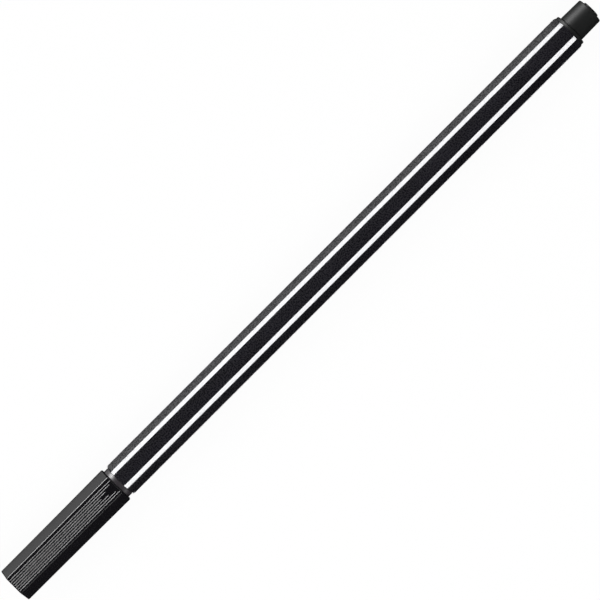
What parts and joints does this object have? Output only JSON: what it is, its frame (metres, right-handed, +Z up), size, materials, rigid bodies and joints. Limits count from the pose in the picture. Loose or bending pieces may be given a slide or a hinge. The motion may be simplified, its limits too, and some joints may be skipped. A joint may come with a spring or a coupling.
{
  "type": "felt-tip pen",
  "caption": "Capped felt-tip pen: six-sided dark barrel with a white stripe on each edge, grooved six-sided cap, round collar and end plug, fibre nib.",
  "frame": {"origin": "on the table below the middle of the capped pen's length and width", "axes": "+X along the pen from the cap's closed end to the end plug, +Z up from the table through a grooved side of the cap"},
  "size_m": [0.1674, 0.0084, 0.0075],
  "materials": {
    "barrel_plastic": "satin moulded polypropylene, near black",
    "stripe_white": "satin white stripe, flush with the barrel",
    "section_plastic": "polished black plastic",
    "nib_fibre": "bonded fibre soaked in black ink",
    "reservoir_fibre": "polyester fibre soaked in black ink",
    "film_clear": "thin clear wrapping film",
    "breather_plastic": "natural translucent plastic",
    "plug_plastic": "satin black moulded plastic",
    "cap_plastic": "satin black moulded plastic with polished edges",
    "seal_plastic": "soft natural polyethylene"
  },
  "bodies": {
    "pen_body": {"barrel_tube": "barrel_plastic", "edge_stripe_1": "stripe_white", "edge_stripe_2": "stripe_white", "edge_stripe_3": "stripe_white", "edge_stripe_4": "stripe_white", "edge_stripe_5": "stripe_white", "edge_stripe_6": "stripe_white", "front_section": "section_plastic", "nib": "nib_fibre", "reservoir_core": "reservoir_fibre", "reservoir_film": "film_clear", "breather_tube": "breather_plastic", "end_plug": "plug_plastic"},
    "cap": {"cap_shell": "cap_plastic", "cap_inner_seal": "seal_plastic"}
  },
  "joints": [
    {"name": "cap_slide", "type": "slide", "parent": "pen_body", "child": "cap", "axis": [-1, 0, 0], "range_m": [0, 0.03]}
  ]
}
